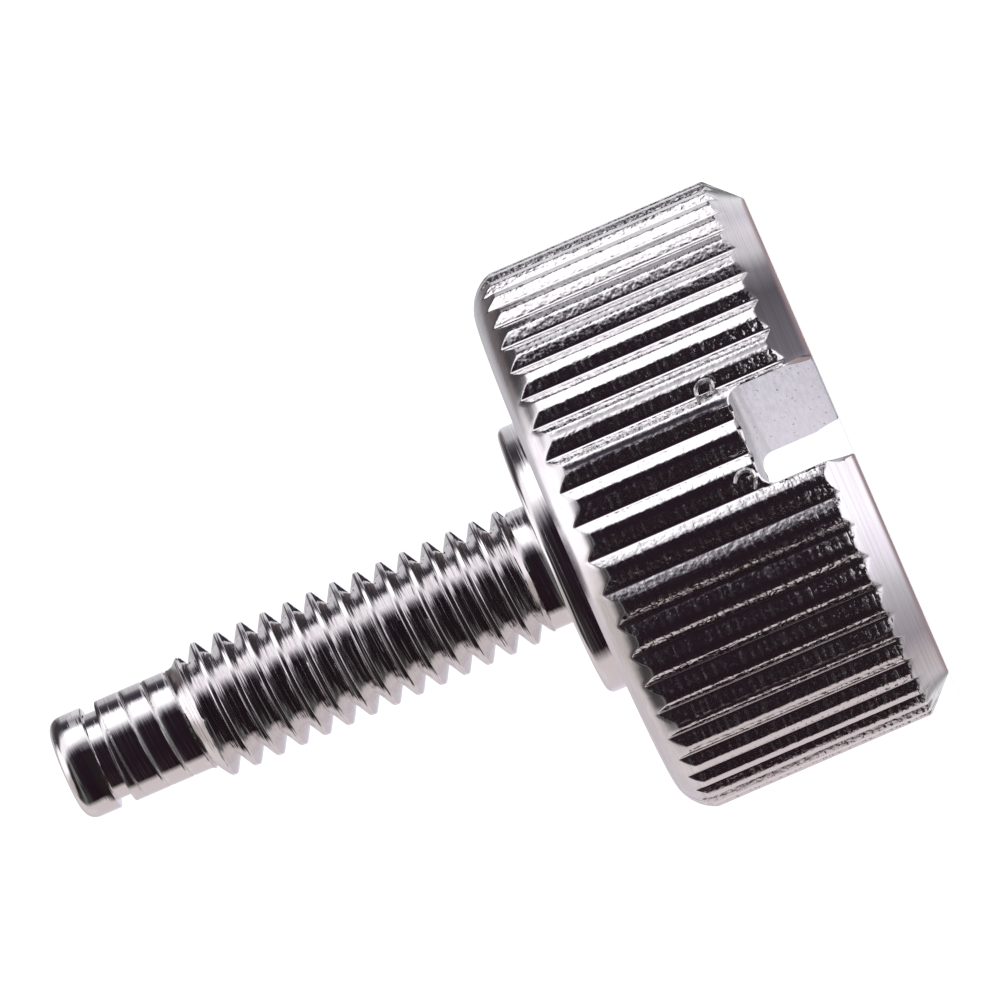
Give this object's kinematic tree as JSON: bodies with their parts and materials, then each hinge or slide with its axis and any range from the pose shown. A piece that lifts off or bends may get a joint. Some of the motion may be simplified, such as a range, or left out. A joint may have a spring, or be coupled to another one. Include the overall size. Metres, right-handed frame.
{
  "type": "hoop knob",
  "caption": "Straight-knurled round knob head with a driver slot across its face, a clamping collar, a threaded shank and a plain dog point with a ring groove.",
  "frame": {"origin": "centre of the slotted outer face of the head, on which the knob stands", "axes": "+Z along the axis from the head to the dog point; the driver slot lies along Y"},
  "size_m": [0.0322, 0.0322, 0.0473],
  "materials": {
    "plated_steel": "bright plating over turned and knurled steel"
  },
  "bodies": {
    "root": {"hoop_knob": "plated_steel"}
  },
  "joints": []
}
